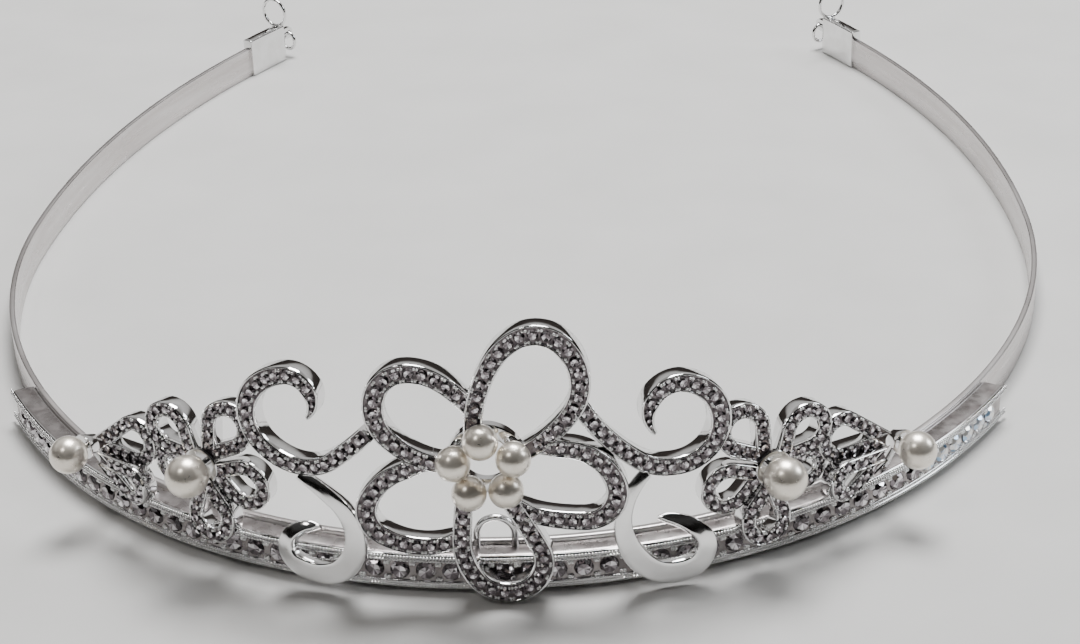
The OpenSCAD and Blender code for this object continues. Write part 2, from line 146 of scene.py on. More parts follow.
def hand_in(piece, name, nodes, materials, body="tiara"):
    """Names a finished piece, gives it its materials and fixes it to its body."""
    piece.name = name
    piece.data.name = name
    second = [face.index for face in piece.data.polygons if face.material_index == 1]
    piece.data.materials.clear()
    for material in materials:
        piece.data.materials.append(material)
    for index in second:
        piece.data.polygons[index].material_index = 1
    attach(piece, body)
    if nodes:
        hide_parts(*nodes)


def new_finish(name):
    """A new material with its shader."""
    material = bpy.data.materials.new(name)
    material.use_nodes = True
    nodes, links = material.node_tree.nodes, material.node_tree.links
    return material, nodes, links, nodes["Principled BSDF"]


def noise(nodes, links, scale, detail=2.0, stretch=None):
    """Noise at scale per metre, read from the piece's own coordinates."""
    source = nodes.new("ShaderNodeTexCoord").outputs["Object"]
    if stretch:
        mapping = nodes.new("ShaderNodeMapping")
        mapping.inputs["Scale"].default_value = stretch
        links.new(source, mapping.inputs["Vector"])
        source = mapping.outputs["Vector"]
    texture = nodes.new("ShaderNodeTexNoise")
    texture.inputs["Scale"].default_value = scale
    texture.inputs["Detail"].default_value = detail
    links.new(source, texture.inputs["Vector"])
    return texture.outputs["Fac"]


def ramp(nodes, links, value, low, high, low_at=0.3, high_at=0.7, between=()):
    """Turns a 0 to 1 value into a grey or a colour between two stops or more."""
    stops = nodes.new("ShaderNodeValToRGB")
    for stop, place, shade in zip(stops.color_ramp.elements, (low_at, high_at), (low, high)):
        stop.position = place
        stop.color = (shade, shade, shade, 1) if isinstance(shade, float) else (*shade, 1)
    for place, shade in between:
        stops.color_ramp.elements.new(place).color = (*shade, 1)
    links.new(value, stops.inputs["Fac"])
    return stops.outputs["Color"]


def metal(name, scales, low, high, low_rough, high_rough, stretches=(None, None)):
    """A metal whose tone and roughness vary a little, each by noise at its own scale."""
    material, nodes, links, shader = new_finish(name)
    shader.inputs["Metallic"].default_value = 1.0
    tones = noise(nodes, links, *scales[0], stretch=stretches[0])
    links.new(ramp(nodes, links, tones, low, high), shader.inputs["Base Color"])
    wear = noise(nodes, links, *scales[1], stretch=stretches[1])
    links.new(ramp(nodes, links, wear, low_rough, high_rough), shader.inputs["Roughness"])
    return material, nodes, links, shader


def bump(nodes, links, value, shader, strength, distance):
    """Raises the surface a little by a value."""
    relief = nodes.new("ShaderNodeBump")
    relief.inputs["Strength"].default_value = strength
    relief.inputs["Distance"].default_value = distance
    links.new(value, relief.inputs["Height"])
    links.new(relief.outputs["Normal"], shader.inputs["Normal"])


def rounded_bar(width, height, radius, low=0.0):
    """Section corners of a bar with rounded edges: (in from the face, up) pairs."""
    corners = []
    for cx, cz, start in ((width - radius, radius, -90), (width - radius, height - radius, 0),
                          (radius, height - radius, 90), (radius, radius, 180)):
        for step in range(5):
            angle = math.radians(start + step * 22.5)
            corners.append((cx + radius * math.cos(angle), low + cz + radius * math.sin(angle)))
    return corners


satin, nodes, links, shader = metal("satin_spring_steel", ((60, 3), (90, 3)), (0.56, 0.525, 0.515),
                                    (0.66, 0.635, 0.63), 0.24, 0.33, ((1, 1, 18), (1, 1, 9)))
shader.inputs["Anisotropic"].default_value = 0.35
bump(nodes, links, noise(nodes, links, 110, 2, stretch=(1, 1, 24)), shader, 0.1, 0.00005)

strip = start_section([(0, STRIP_IN + y, z) for y, z in rounded_bar(STRIP_T, STRIP_H, 0.22)])
sweep_round_band(END_TURN)
bpy.ops.mesh.edge_face_add()
mirror_band(strip)
seal(strip)
strip.data.transform(rail_place(0))
hand_in(strip, "spring_strip", ["headband_strip"], [satin])

# ---------------------------------------------------------------------------
# End sleeves. A piece of thin plated sheet folded over the strip's end, with
# a tongue drilled as an eye and a wire loop soldered upright on the fold.
# ---------------------------------------------------------------------------
SLEEVE_L, SLEEVE_H, SLEEVE_T = 9.5, 6.6, 1.8
HOLE_OUT, LUG_Z, LUG_T = 1.8, 4.6, 0.8
WIRE_R, LOOP_R, RING_R = 0.3, 2.4, 1.55


def cylinder_y(x, z, near, far, radius, corners=48):
    """A round bar that runs along Y, as the active object."""
    bpy.ops.object.select_all(action="DESELECT")
    bpy.ops.mesh.primitive_cylinder_add(vertices=corners, radius=radius, depth=far - near,
                                        location=(x, (near + far) / 2, z), rotation=(math.pi / 2, 0, 0))
    bpy.ops.object.transform_apply(location=True, rotation=True, scale=True)
    return bpy.context.object


def cut(piece, tool):
    """Cuts tool out of piece and removes it."""
    only(piece)
    bpy.ops.object.modifier_add(type="BOOLEAN")
    piece.modifiers[-1].object = tool
    piece.modifiers[-1].operation = "DIFFERENCE"
    piece.modifiers[-1].solver = "EXACT"
    bpy.ops.object.modifier_apply(modifier=piece.modifiers[-1].name)
    bpy.data.objects.remove(tool, do_unlink=True)


def soften(piece, width, segments=2, angle=30):
    """Rounds the sharp edges of a piece."""
    only(piece)
    bpy.ops.object.modifier_add(type="BEVEL")
    edge = piece.modifiers[-1]
    edge.width = width
    edge.segments = segments
    edge.limit_method = "ANGLE"
    edge.angle_limit = math.radians(angle)
    bpy.ops.object.modifier_apply(modifier=edge.name)


def join_all(pieces):
    """Joins pieces into the first one."""
    only(pieces[0])
    for piece in pieces:
        piece.select_set(True)
    bpy.ops.object.join()
    return bpy.context.object


def wire_ring(radius, wire, centre, around=48, section=14):
    """A ring of round wire in the plane across the band, about centre."""
    bpy.ops.object.select_all(action="DESELECT")
    bpy.ops.mesh.primitive_torus_add(major_radius=radius, minor_radius=wire, major_segments=around,
                                     minor_segments=section, rotation=(0, math.pi / 2, 0), location=centre)
    bpy.ops.object.transform_apply(location=True, rotation=True, scale=True)
    return bpy.context.object


def on_side(side, place):
    """The same place on the right-hand (1) or the left-hand side (-1)."""
    return Matrix.Scale(side, 4, (1, 0, 0)) @ place


def set_down(piece, place):
    """Moves a piece to its place; one that is mirrored there keeps its faces outwards."""
    piece.data.transform(place)
    if place.determinant() < 0:
        piece.data.flip_normals()


plate, nodes, links, shader = metal("polished_plate", ((420, 3), (1500, 3)), (0.74, 0.735, 0.73),
                                    (0.86, 0.86, 0.86), 0.05, 0.12)
bump(nodes, links, noise(nodes, links, 600, 2), shader, 0.3, 0.00006)

wire_plate, nodes, links, shader = metal("plated_wire", ((800, 2), (2400, 3)), (0.76, 0.755, 0.75),
                                         (0.88, 0.88, 0.88), 0.12, 0.22)
bump(nodes, links, noise(nodes, links, 3000, 2), shader, 0.1, 0.00004)

end_in = STRIP_IN + STRIP_T / 2
for side, word in ((-1, "left"), (1, "right")):
    place = on_side(side, rail_place(END_TURN, -end_in))
    # the folded sheet: a round-topped bar with a lip pressed in where it starts
    section = [(y - SLEEVE_T / 2, z) for y, z in rounded_bar(SLEEVE_T, SLEEVE_H, 0.3)]
    fold = start_section([(0, y, z) for y, z in section])
    centre_y = BACK_R - end_in
    for degrees in (0.5, 2.2, 0.35, 0.2):
        bpy.ops.mesh.spin(steps=max(1, round(degrees * 3)), angle=math.radians(degrees),
                          center=(0, centre_y, 0), axis=(0, 0, 1), dupli=False)
    close_ends(fold, len(section))
    only(fold)
    # a crease pressed near the inner end grips the strip
    for corner in fold.data.vertices:
        if -SLEEVE_L + 0.9 < corner.co.x < -SLEEVE_L + 1.7:
            corner.co.z -= 0.25 if corner.co.z > SLEEVE_H / 2 else 0.0
    soften(fold, 0.09, 2, 50)
    # the tongue with its eye
    bpy.ops.object.select_all(action="DESELECT")
    bpy.ops.mesh.primitive_cube_add(size=1, location=(HOLE_OUT / 2 - 0.4, 0, LUG_Z))
    bpy.ops.transform.resize(value=(HOLE_OUT + 0.8, LUG_T, 2.0))
    bpy.ops.object.transform_apply(location=True, rotation=True, scale=True)
    tongue = bpy.context.object
    eye = cylinder_y(HOLE_OUT, LUG_Z, -LUG_T / 2, LUG_T / 2, 1.0)
    only(tongue)
    bpy.ops.object.modifier_add(type="BOOLEAN")
    tongue.modifiers[-1].object = eye
    tongue.modifiers[-1].operation = "UNION"
    bpy.ops.object.modifier_apply(modifier=tongue.modifiers[-1].name)
    bpy.data.objects.remove(eye, do_unlink=True)
    cut(tongue, cylinder_y(HOLE_OUT, LUG_Z, -2, 2, WIRE_R + 0.1))
    soften(tongue, 0.06, 2, 50)
    sleeve = join_all([fold, tongue])
    seal(sleeve)
    set_down(sleeve, place)
    hand_in(sleeve, word + "_sleeve", [word + "_end_sleeve"], [plate])

    loop = wire_ring(LOOP_R, WIRE_R, (-1.2, 0, SLEEVE_H + LOOP_R + WIRE_R - 0.1))
    # a drop of solder spreads where the loop meets the fold
    bpy.ops.object.select_all(action="DESELECT")
    bpy.ops.mesh.primitive_uv_sphere_add(segments=20, ring_count=10, radius=0.55,
                                         location=(-1.2, 0, SLEEVE_H + 0.02))
    bpy.ops.transform.resize(value=(1.0, 1.25, 0.5))
    bpy.ops.object.transform_apply(location=True, rotation=True, scale=True)
    loop = join_all([loop, bpy.context.object])
    seal(loop, 60)
    set_down(loop, place)
    hand_in(loop, word + "_standing_loop", [word + "_pin_loop"], [wire_plate])

    ring = wire_ring(RING_R, WIRE_R, (HOLE_OUT, 0, LUG_Z - RING_R))
    # the ring was bent from a cut length, so a fine butt joint shows at its foot
    for corner in ring.data.vertices:
        if corner.co.z < LUG_Z - 1.7 * RING_R and abs(corner.co.y) < 0.12:
            corner.co.x += (HOLE_OUT - corner.co.x) * 0.18
    seal(ring, 60)
    set_down(ring, place)
    hand_in(ring, word + "_ring", [word + "_hair_ring"], [wire_plate], word + "_ring")

# ---------------------------------------------------------------------------
# Stone rail. A cast bar along the front of the strip: a polished top, a fine
# rope of beads along each edge and a channel of cut stones between them.
# ---------------------------------------------------------------------------
RAIL_LOW, RAIL_HIGH, RAIL_T, RAIL_END = 0.5, 4.9, 2.8, 59.8
RAIL_STONE_R, RAIL_PITCH, RAIL_COUNT = 1.15, 2.9, 25

# section corners as (in from the face line, up), from the lower front edge upwards
rail_section = [
    (0.05, 0.62), (0.0, 0.75), (0.0, 0.98), (0.1, 1.06), (0.1, 1.18), (0.0, 1.26), (0.0, 1.4), (0.06, 1.47),
    (0.24, 1.5), (0.28, 1.6), (0.28, 3.8), (0.24, 3.9), (0.06, 3.93), (0.0, 4.0), (0.0, 4.14), (0.1, 4.22),
    (0.1, 4.32), (0.02, 4.4), (0.02, 4.52), (0.1, 4.7), (0.28, 4.84), (0.55, RAIL_HIGH), (1.4, 4.88),
    (2.45, 4.82), (2.72, 4.74), (RAIL_T, 4.55), (RAIL_T, 0.75), (2.7, 0.55), (2.5, RAIL_LOW), (0.3, RAIL_LOW)]

rail = start_section([(0, y, z) for y, z in rail_section])
sweep_round_band(RAIL_END)
bpy.ops.mesh.edge_face_add()
mirror_band(rail)
seal(rail, 50)

dark_seat, nodes, links, shader = metal("shadowed_setting", ((1800, 3), (2500, 3)), (0.10, 0.085, 0.09),
                                        (0.26, 0.235, 0.24), 0.28, 0.45)
bump(nodes, links, noise(nodes, links, 5200, 2), shader, 0.4, 0.00008)

# painted shade: a darker satin for the rail's top, channel floor and flat back, standing in for the dim
# reflection they show
satin_painted_shade, nodes, links, shader = metal("rail_satin_painted_shade", ((420, 3), (700, 3)), (0.24, 0.215, 0.212),
                                         (0.46, 0.435, 0.43), 0.22, 0.38)
bump(nodes, links, noise(nodes, links, 1300, 3), shader, 0.2, 0.00006)

rail.data.materials.append(plate)
rail.data.materials.append(satin_painted_shade)
# the top, the channel's floor and the flat back are satin, darkened with painted shade
for face in rail.data.polygons:
    middle = sum((rail.data.vertices[i].co for i in face.vertices), Vector()) / len(face.vertices)
    top = middle.z > 4.78 and face.normal.z > 0.7
    upright = 1.5 < middle.z < 3.9 and abs(face.normal.z) < 0.5 and len(face.vertices) == 4
    if top or upright:
        face.material_index = 1


def bead_master(radius, stretch=1.0):
    """One small round grain of metal with few faces, its crown towards -Y."""
    bpy.ops.object.select_all(action="DESELECT")
    bpy.ops.mesh.primitive_uv_sphere_add(segments=8, ring_count=5, radius=radius,
                                         rotation=(math.pi / 2, 0, 0))
    bpy.ops.transform.resize(value=(stretch, 1, 1))
    bpy.ops.object.transform_apply(location=True, rotation=True, scale=True)
    bpy.ops.object.shade_smooth()
    return bpy.context.object


def stone_master(radius, crown, dip):
    """A round cut stone, flat side towards -Y: eight main facets, corner facets
    and a table whose facets dip like the pavilion seen through it."""
    bpy.ops.object.select_all(action="DESELECT")
    bpy.ops.mesh.primitive_cylinder_add(vertices=8, radius=radius * 1.03, depth=crown)
    stone = bpy.context.object
    bpy.ops.object.mode_set(mode="EDIT")
    bpy.ops.mesh.select_mode(type="FACE")
    bpy.ops.mesh.select_all(action="DESELECT")
    bpy.ops.object.mode_set(mode="OBJECT")
    for face in stone.data.polygons:
        face.select = face.normal.z > 0.9
    bpy.ops.object.mode_set(mode="EDIT")
    bpy.ops.transform.resize(value=(0.66, 0.66, 1))
    bpy.ops.mesh.select_mode(type="VERT")
    bpy.ops.mesh.select_all(action="SELECT")
    bpy.ops.mesh.bevel(offset=radius * 0.2, affect="VERTICES", segments=1)
    bpy.ops.mesh.select_mode(type="FACE")
    bpy.ops.mesh.select_all(action="DESELECT")
    bpy.ops.object.mode_set(mode="OBJECT")
    for face in stone.data.polygons:
        face.select = face.normal.z > 0.9
    bpy.ops.object.mode_set(mode="EDIT")
    bpy.ops.mesh.poke(offset=-dip)
    bpy.ops.object.mode_set(mode="OBJECT")
    stone.data.transform(Matrix.Rotation(math.pi / 2, 4, "X"))
    bpy.ops.object.shade_flat()
    # each facet gets a random tone that the crystal ramps turn from near black to white: painted glints and
    # reflections; green sets the facet's polish
    facet_glint_shades = stone.data.attributes.new(name="facet", type="FLOAT_COLOR", domain="CORNER")
    pick = random.Random(7)
    for face in stone.data.polygons:
        tone = pick.random()
        for corner in face.loop_indices:
            polish = (tone * 7.3) % 1.0 * 0.99 + pick.random() * 0.01
            facet_glint_shades.data[corner].color = (tone, polish, (tone * 3.7) % 1.0, 1)
    return stone


def set_copies(master, spots, name):
    """Copies a master to every spot, each with its own mesh, and joins the copies."""
    copies = []
    for spot in spots:
        mesh = master.data.copy()
        mesh.transform(spot)
        if spot.determinant() < 0:
            mesh.flip_normals()
        copy = bpy.data.objects.new(name, mesh)
        bpy.context.collection.objects.link(copy)
        copies.append(copy)
    return join_all(copies)


turner = random.Random(19)


def spun(radius_scale=1.0):
    """A small random turn of a stone in its seat."""
    return Matrix.Rotation(turner.uniform(0, math.tau), 4, "Y") @ Matrix.Scale(radius_scale, 4)


def tilt():
    """Stones never sit quite square, which is what makes a row sparkle."""
    return (Matrix.Rotation(turner.uniform(-0.07, 0.07), 4, "X")
            @ Matrix.Rotation(turner.uniform(-0.07, 0.07), 4, "Z"))


def cut_stone(name, channel, tones, rough, metallic, coat, ior):
    """Crystal whose colour runs from dark to white from facet to facet, painted glints and reflections over
    the stone's own dark tone, under a clear coat.
    """
    material, nodes, links, shader = new_finish(name)
    reader = nodes.new("ShaderNodeAttribute")
    reader.attribute_name = "facet"
    parts = nodes.new("ShaderNodeSeparateColor")
    links.new(reader.outputs["Color"], parts.inputs["Color"])
    tone = ramp(nodes, links, parts.outputs[channel], tones[0][1], tones[-1][1], 0.0, 1.0, tones[1:-1])
    links.new(tone, shader.inputs["Base Color"])
    links.new(ramp(nodes, links, parts.outputs["Green"], *rough, 0.0, 1.0), shader.inputs["Roughness"])
    shader.inputs["Metallic"].default_value = metallic
    shader.inputs["Coat Weight"].default_value = coat
    shader.inputs["Coat Roughness"].default_value = 0.02
    shader.inputs["Coat IOR"].default_value = ior
    return material


# the stone's own dark taupe, with its lightest facets as painted glints
crystal = cut_stone("cut_crystal", "Red", (
    (0.0, (0.035, 0.028, 0.032)), (0.34, (0.10, 0.08, 0.088)), (0.62, (0.27, 0.235, 0.255)),
    (0.8, (0.84, 0.80, 0.84)), (1.0, (1.0, 0.99, 1.0))), (0.03, 0.16), 0.82, 0.8, 1.7)
# painted sparkle: the six stones at the right-hand end get blue and white facet tones for the sparkle they
# catch
sparkle_painted_crystal = cut_stone("crystal_painted_sparkle", "Blue", (
    (0.0, (0.03, 0.04, 0.06)), (0.2, (0.10, 0.14, 0.22)), (0.32, (0.40, 0.68, 1.0)), (0.6, (0.88, 0.92, 1.0)),
    (0.75, (1.0, 0.98, 0.92)), (1.0, (1.0, 1.0, 1.0))), (0.04, 0.2), 0.45, 1.0, 1.8)

# painted highlight: grains and claws get a whiter copy of the plate so they read as bright dots of reflected
# light
grain_plate_painted_highlight, nodes, links, shader = metal("grain_painted_highlight", ((900, 2), (3000, 2)), (0.92, 0.915, 0.91),
                                          (0.98, 0.98, 0.98), 0.22, 0.36)

milgrain = bead_master(0.17, 1.12)
rope = []
for y, z in ((-0.01, 0.78), (-0.01, 1.30), (-0.01, 4.08), (0.02, 4.47)):
    for step in range(-208, 209):
        along = step * 0.37
        turn = rail_turn(abs(along))
        rope.append(Matrix.Scale(1 if along >= 0 else -1, 4, (1, 0, 0)) @ rail_place(turn)
                    @ Matrix.Translation((0, y + 0.04, z)))
milgrain_rope = set_copies(milgrain, rope, "rail_milgrain")
bpy.data.objects.remove(milgrain, do_unlink=True)

rail_stone = stone_master(RAIL_STONE_R, 0.42, 0.13)
rail_claw = bead_master(0.26)
seats, claws = [], []
for number in range(-RAIL_COUNT, RAIL_COUNT + 1):
    hand = Matrix.Scale(1 if number >= 0 else -1, 4, (1, 0, 0))
    place = hand @ rail_place(rail_turn(abs(number) * RAIL_PITCH))
    seats.append(place @ Matrix.Translation((0, 0.04, 2.7)) @ tilt() @ spun())
    half = hand @ rail_place(rail_turn(abs(number + 0.5 * (1 if number >= 0 else -1)) * RAIL_PITCH))
    for x, z in ((-0.16, 3.62), (0.16, 3.62), (-0.16, 1.78), (0.16, 1.78)):
        if abs(number) < RAIL_COUNT:
            claws.append(half @ Matrix.Translation((x, 0.14, z)))
# the last six stones, at the right-hand end, take the painted sparkle
rail_stones = set_copies(rail_stone, seats[:-6], "rail_stone_row")
end_stones = set_copies(rail_stone, seats[-6:], "rail_end_stones")
rail_claws = set_copies(rail_claw, claws, "rail_claws")
bpy.data.objects.remove(rail_stone, do_unlink=True)
bpy.data.objects.remove(rail_claw, do_unlink=True)
rail.data.transform(rail_place(0))
hand_in(rail, "rail_bar", ["stone_rail"], [plate, satin_painted_shade])
hand_in(milgrain_rope, "rail_milgrain", [], [plate])
hand_in(rail_claws, "rail_claws", [], [grain_plate_painted_highlight])
hand_in(rail_stones, "rail_stone_row", ["rail_stones"], [crystal])
hand_in(end_stones, "rail_end_stones", [], [sparkle_painted_crystal])

# ---------------------------------------------------------------------------
# Rear loop. An arch of flattened wire soldered behind the rail's top edge in
# the middle, for a hair pin.
# ---------------------------------------------------------------------------
ARCH_R, ARCH_LEG, ARCH_WIRE = 2.1, 1.4, 0.4

around = [math.tau * k / 14 for k in range(14)]
arch = start_section([(-ARCH_R + ARCH_WIRE * math.cos(angle), RAIL_T - 0.4 + ARCH_WIRE * math.sin(angle),
                       RAIL_HIGH - 0.1) for angle in around])
bpy.ops.mesh.spin(steps=2, angle=-math.radians(0.1), axis=(0, 1, 0), dupli=False,
                  center=(-ARCH_R + (ARCH_LEG + 0.1) / math.radians(0.1), 0, RAIL_HIGH - 0.1))
bpy.ops.mesh.spin(steps=24, angle=-math.pi, center=(0, 0, RAIL_HIGH + ARCH_LEG), axis=(0, 1, 0), dupli=False)
bpy.ops.mesh.extrude_region_move(TRANSFORM_OT_translate={"value": (0, 0, -ARCH_LEG - 0.1)})
seal(arch, 60)
arch.data.transform(rail_place(rail_turn(2)))
hand_in(arch, "rear_loop", ["rear_wire_loop"], [wire_plate])

# ---------------------------------------------------------------------------
# Large flower. Five cast petals, each an open band bent through a few even
# curves, polished outside and set with a row of small stones held by grains.
# ---------------------------------------------------------------------------
FACE_OUT, PLATE_T = 2.2, 2.0
PAVE_R, PAVE_PITCH = 0.65, 1.38
PETAL_W = ((0, 1.9), (0.5, 2.4), (1, 1.9))
# start, legs, bare length at each end, and the length at each end that sinks behind the next petal
PETALS = {
    "petal_top": ((0.4, 21.2, 85),
                  ((1.3, 0), (8, -25), (3.5, -30), (5.5, -80), (8.5, -75), (5.5, -20), (2.3, 0)),
                  1.9, 2.9, 0.0, 0.0),
    "petal_upper_left": ((0.65, 23.76, 125),
                         ((2, 0), (4.3, 30), (2.5, 25), (4, 65), (6, 65), (6, 35), (2.3, 0)),
                         1.4, 2.9, 2.4, 0.0),
    "petal_lower_left": ((-3.63, 18.07, 198), ((3.6, 0), (6.0, 52), (4.3, 74), (8.4, 58), (1.6, 3)),
                         2.0, 1.4, 3.0, 2.2),
    "petal_right": ((6.3, 19.73, -2), ((3.7, 0), (7.6, -76), (6.4, -102), (4.2, -12), (4.8, -30)),
                    1.9, 2.1, 2.6, 3.0),
    "petal_bottom": ((-0.8, 14.3, 265), ((5.8, 0), (5.5, 40), (12, 170), (6, 5), (1.8, 0)),
                     2.0, 2.0, 0.0, 0.0)}


def leg_end(state, leg, share=1.0):
    """Position and direction after part of a leg: a length that turns evenly."""
    x, z, heading = state
    length, turn = leg[0] * share, leg[1] * share
    first, last = math.radians(heading), math.radians(heading + turn)
    if abs(turn) < 0.02:
        return x + length * math.cos(first), z + length * math.sin(first), heading
    radius = length / math.radians(turn)
    return (x + radius * (math.sin(last) - math.sin(first)), z + radius * (math.cos(first) - math.cos(last)),
            heading + turn)


def at_distance(start, legs, distance):
    """Position and direction at a distance along a line of legs."""
    state = start
    for leg in legs:
        if distance <= leg[0]:
            return leg_end(state, leg, distance / leg[0])
        state, distance = leg_end(state, leg), distance - leg[0]
    return state


def width_at(widths, share):
    """Width between the two nearest of the given (share, width) pairs."""
    for (s0, w0), (s1, w1) in zip(widths, widths[1:]):
        if share <= s1:
            return w0 + (w1 - w0) * (share - s0) / (s1 - s0)
    return widths[-1][1]


def sunk(distance, total, sink):
    """How far behind its face a band lies near ends that pass behind another piece."""
    near = max(0.0, 1 - distance / sink[0]) if sink[0] else 0.0
    far = max(0.0, 1 - (total - distance) / sink[1]) if sink[1] else 0.0
    return 0.55 * math.sqrt(near) + 0.55 * math.sqrt(far)


def sweep_band(start, legs, section, widths, step=0.45, sink=(0.0, 0.0)):
    """Sweeps a section of (across, depth) pairs along legs, upright, then sets the
    width of every ring. across runs from -1 to 1; returns the piece and its rings."""
    x, z, heading = start
    across = Vector((-math.sin(math.radians(heading)), 0, math.cos(math.radians(heading))))
    piece = start_section([Vector((x, 0, z)) + across * q + Vector((0, y, 0)) for q, y in section])
    state, shares, total, gone = start, [0.0], sum(leg[0] for leg in legs), 0.0
    for length, turn in legs:
        turn = turn if abs(turn) > 0.02 else 0.02
        radius = length / math.radians(turn)
        angle = math.radians(state[2])
        steps = max(2, math.ceil(length / step))
        hub = (state[0] - radius * math.sin(angle), 0, state[1] + radius * math.cos(angle))
        bpy.ops.mesh.spin(steps=steps, angle=math.radians(turn), axis=(0, 1, 0), dupli=False, center=hub)
        shares += [(gone + length * (k + 1) / steps) / total for k in range(steps)]
        gone += length
        state = leg_end(state, (length, turn))
    count = len(section)
    close_ends(piece, count)
    only(piece)
    thick = max(y for q, y in section)
    for ring, share in enumerate(shares):
        x, z, heading = at_distance(start, legs, share * total)
        half = width_at(widths, share) / 2
        back = sunk(share * total, total, sink)
        across = Vector((-math.sin(math.radians(heading)), 0, math.cos(math.radians(heading))))
        for corner, (q, y) in zip(piece.data.vertices[ring * count:ring * count + count], section):
            # edges keep their size, and only the middle widens
            reach = math.copysign(max(0.0, half - (1 - abs(q)) * 1.2), q) if abs(q) > 0.3 else q * half
            corner.co = Vector((x, y + back * (1 - y / thick), z)) + across * reach
    return piece, shares


def channel_section(thick=PLATE_T, rim=0.24, floor=0.34):
    """Half outline, mirrored: rounded rims beside a channel, on plain deep walls."""
    unit = 1 / 1.2
    half = [(1 - rim * unit - 0.08, floor), (1 - rim * unit - 0.03, floor - 0.1), (1 - rim * unit, 0.09),
            (1 - rim * unit + 0.05, 0.02), (1 - rim * 0.5 * unit, 0.0), (1 - 0.05 * unit, 0.03), (1.0, 0.11),
            (0.995, 0.6), (0.955, thick - 0.14), (0.92, thick - 0.04), (0.84, thick)]
    return half + [(-q, y) for q, y in reversed(half)]


def paint_channel(piece, section):
    """Gives the channel's floor the second material: the faces between the section's ends."""
    count = len(section)
    piece.data.materials.append(plate)
    piece.data.materials.append(dark_seat)
    for face in piece.data.polygons:
        if len(face.vertices) == 4 and {corner % count for corner in face.vertices} <= {0, count - 1}:
            face.material_index = 1


def stone_row(start, legs, skip_start, skip_end, pitch, grain_gap, side_gap, depth=0.12, sink=(0.0, 0.0)):
    """Spots for stones along a line, and for the grains between and beside them."""
    total = sum(leg[0] for leg in legs)
    free = total - skip_start - skip_end
    gaps = int(free / pitch)
    stones, grains = [], []
    for k in range(gaps + 1):
        distance = skip_start + free * k / gaps
        x, z, heading = at_distance(start, legs, distance)
        stones.append(Matrix.Translation((x, depth + sunk(distance, total, sink), z)) @ tilt() @ spun())
        if k < gaps:
            distance += free * 0.5 / gaps
            x, z, heading = at_distance(start, legs, distance)
            back = sunk(distance, total, sink)
            cosine, sine = math.cos(math.radians(heading)), math.sin(math.radians(heading))
            for across in (-side_gap, side_gap):
                for along in (-grain_gap, grain_gap):
                    grains.append(Matrix.Translation((x - across * sine + along * cosine, back,
                                                      z + across * cosine + along * sine)))
    return stones, grains


pave_stone = stone_master(PAVE_R, 0.36, 0.09)
grain = bead_master(0.165)
section = channel_section()
for name, (start, legs, skip_start, skip_end, *sink) in PETALS.items():
    place = rail_place(0, FACE_OUT)
    petal, shares = sweep_band(start, legs, section, PETAL_W, sink=sink)
    paint_channel(petal, section)
    seal(petal, 38)
    petal.data.transform(place)
    hand_in(petal, name + "_band", [name], [plate, dark_seat])
    stones, grains = stone_row(start, legs, skip_start, skip_end, PAVE_PITCH, 0.16, 0.66, sink=sink)
    row = set_copies(pave_stone, [place @ spot for spot in stones], name + "_row")
    hand_in(row, name + "_row", [name + "_stones"], [crystal])
    dots = set_copies(grain, [place @ spot for spot in grains], name + "_grains")
    hand_in(dots, name + "_grains", [], [grain_plate_painted_highlight])

# ---------------------------------------------------------------------------
# Middle pearls. Five drilled imitation pearls, lacquered ivory, glued on pegs
# that stand on a small ring of cups behind the petals' roots.
# ---------------------------------------------------------------------------
PEARL_RING_R, PEARL_RING_MID, PEARL_PHASE, PEARL_OUT = 3.35, (1.65, 18.0), 23.0, 1.4


def pearl_ball(x, z, out, radius):
    """One pearl: a ball, a little flattened at its drill hole."""
    bpy.ops.object.select_all(action="DESELECT")
    bpy.ops.mesh.primitive_uv_sphere_add(segments=64, ring_count=40, radius=radius, location=(x, -out, z),
                                         rotation=(math.pi / 2, 0, 0))
    bpy.ops.object.transform_apply(location=True, rotation=True, scale=True)
    ball = bpy.context.object
    for corner in ball.data.vertices:
        back = (corner.co.y + out) / radius
        if back > 0.9:
            corner.co.y = -out + radius * (0.9 + (back - 0.9) * 0.6)
    bpy.ops.object.shade_smooth()
    return ball


lustre, nodes, links, shader = new_finish("pearl_lacquer")
links.new(ramp(nodes, links, noise(nodes, links, 520, 3), (0.86, 0.79, 0.69), (0.93, 0.875, 0.78)),
          shader.inputs["Base Color"])
shader.inputs["Metallic"].default_value = 0.8
shader.inputs["Coat Weight"].default_value = 0.6
shader.inputs["Coat Roughness"].default_value = 0.07
shader.inputs["Sheen Weight"].default_value = 0.15
shader.inputs["Sheen Roughness"].default_value = 0.4
links.new(ramp(nodes, links, noise(nodes, links, 1600, 3), 0.27, 0.34), shader.inputs["Roughness"])
bump(nodes, links, noise(nodes, links, 2200, 3), shader, 0.06, 0.00004)

def spun_ring(x, z, outline, steps):
    """A closed outline of (out from the axis, depth) pairs, spun about (x, z)."""
    ring = start_section([(x + q, y, z) for q, y in outline])
    bpy.ops.mesh.spin(steps=steps, angle=math.tau, center=(x, 0, z), axis=(0, 1, 0), dupli=False)
    bpy.ops.mesh.select_all(action="SELECT")
    bpy.ops.mesh.remove_doubles(threshold=0.001)
    bpy.ops.object.mode_set(mode="OBJECT")
    return ring


